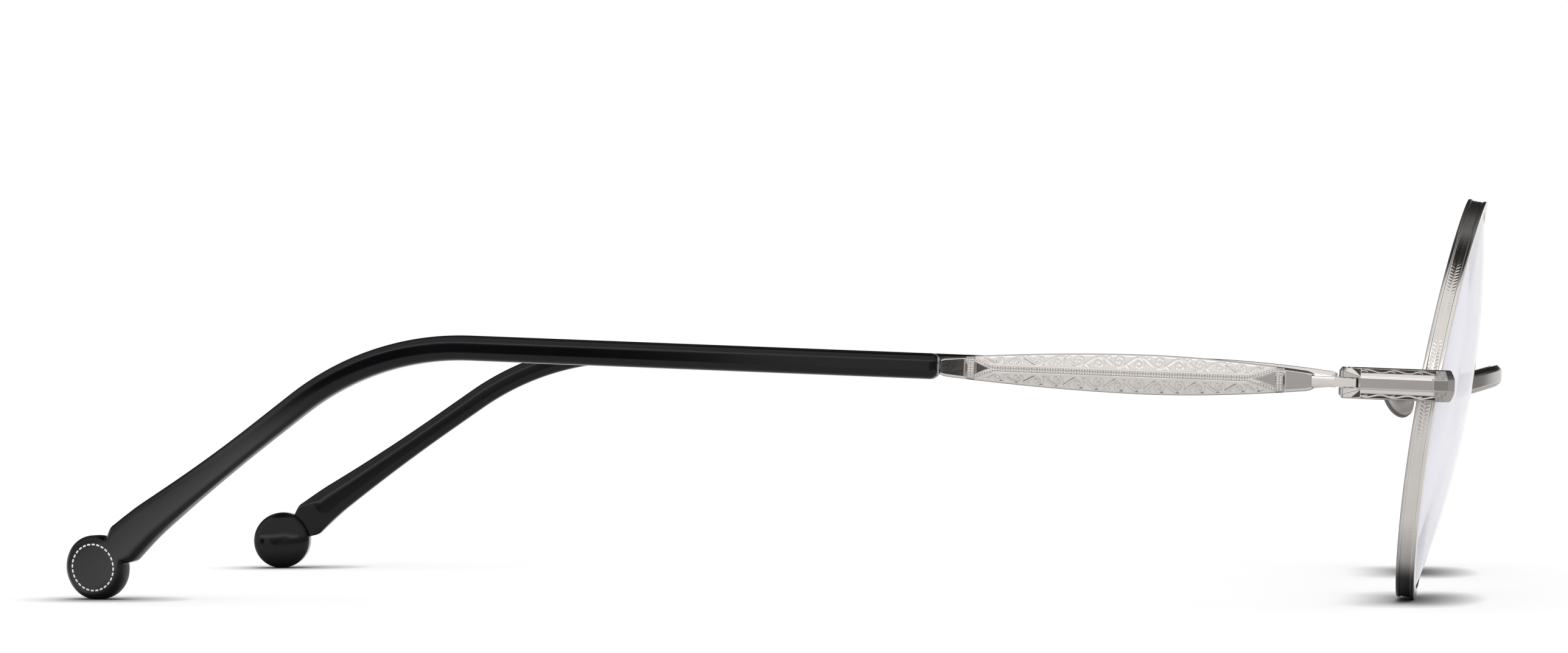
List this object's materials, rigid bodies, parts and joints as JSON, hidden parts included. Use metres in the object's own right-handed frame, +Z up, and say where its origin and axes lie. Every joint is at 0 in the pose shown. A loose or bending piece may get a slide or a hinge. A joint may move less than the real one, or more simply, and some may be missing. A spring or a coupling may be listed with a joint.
{
  "type": "round eyeglasses",
  "caption": "Round metal eyeglasses with engraved rims, leaf-shaped temple plates, black sleeves with round tips, folding temples and rocking nose pads.",
  "frame": {"origin": "middle of the bounding box on the floor that the open glasses stand on", "axes": "+Y back along the temples, +Z up, +X to the wearer's left; the lenses look along -Y"},
  "size_m": [0.1302, 0.1542, 0.0421],
  "materials": {
    "silver": "polished and engraved silver-coloured metal",
    "steel": "satin steel",
    "pad": "satin metal with a polished bevel",
    "lens": "clear with a faint lavender coating",
    "acetate": "polished black"
  },
  "bodies": {
    "front": {"bridge": "silver", "left_rim": "silver", "left_lens": "lens", "left_end_piece": "silver", "left_hinge_screw": "steel", "left_rim_lock_upper": "silver", "left_rim_lock_lower": "silver", "left_rim_lock_screw": "steel", "left_pad_arm": "silver", "left_pad_box": "silver", "left_pad_screw": "steel", "right_rim": "silver", "right_lens": "lens", "right_end_piece": "silver", "right_hinge_screw": "steel", "right_rim_lock_upper": "silver", "right_rim_lock_lower": "silver", "right_rim_lock_screw": "steel", "right_pad_arm": "silver", "right_pad_box": "silver", "right_pad_screw": "steel"},
    "left_temple": {"left_temple_bar": "silver", "left_core_wire": "steel", "left_temple_sleeve": "acetate"},
    "right_temple": {"right_temple_bar": "silver", "right_core_wire": "steel", "right_temple_sleeve": "acetate"},
    "left_pad": {"left_nose_pad": "pad"},
    "right_pad": {"right_nose_pad": "pad"}
  },
  "joints": [
    {"name": "left_temple_fold", "type": "hinge", "parent": "front", "child": "left_temple", "pos_m": [0.064, -0.061, 0.02295], "axis": [0, -0.043, 0.9991], "range_deg": [0, 82]},
    {"name": "right_temple_fold", "type": "hinge", "parent": "front", "child": "right_temple", "pos_m": [-0.064, -0.061, 0.02295], "axis": [0, 0.043, -0.9991], "range_deg": [0, 78]},
    {"name": "left_pad_rock", "type": "hinge", "parent": "front", "child": "left_pad", "pos_m": [0.0093, -0.06632, 0.02211], "axis": [0.5736, 0.8184, 0.0353], "range_deg": [-9, 9]},
    {"name": "right_pad_rock", "type": "hinge", "parent": "front", "child": "right_pad", "pos_m": [-0.0093, -0.06632, 0.02211], "axis": [-0.5736, 0.8184, 0.0353], "range_deg": [-9, 9]}
  ]
}
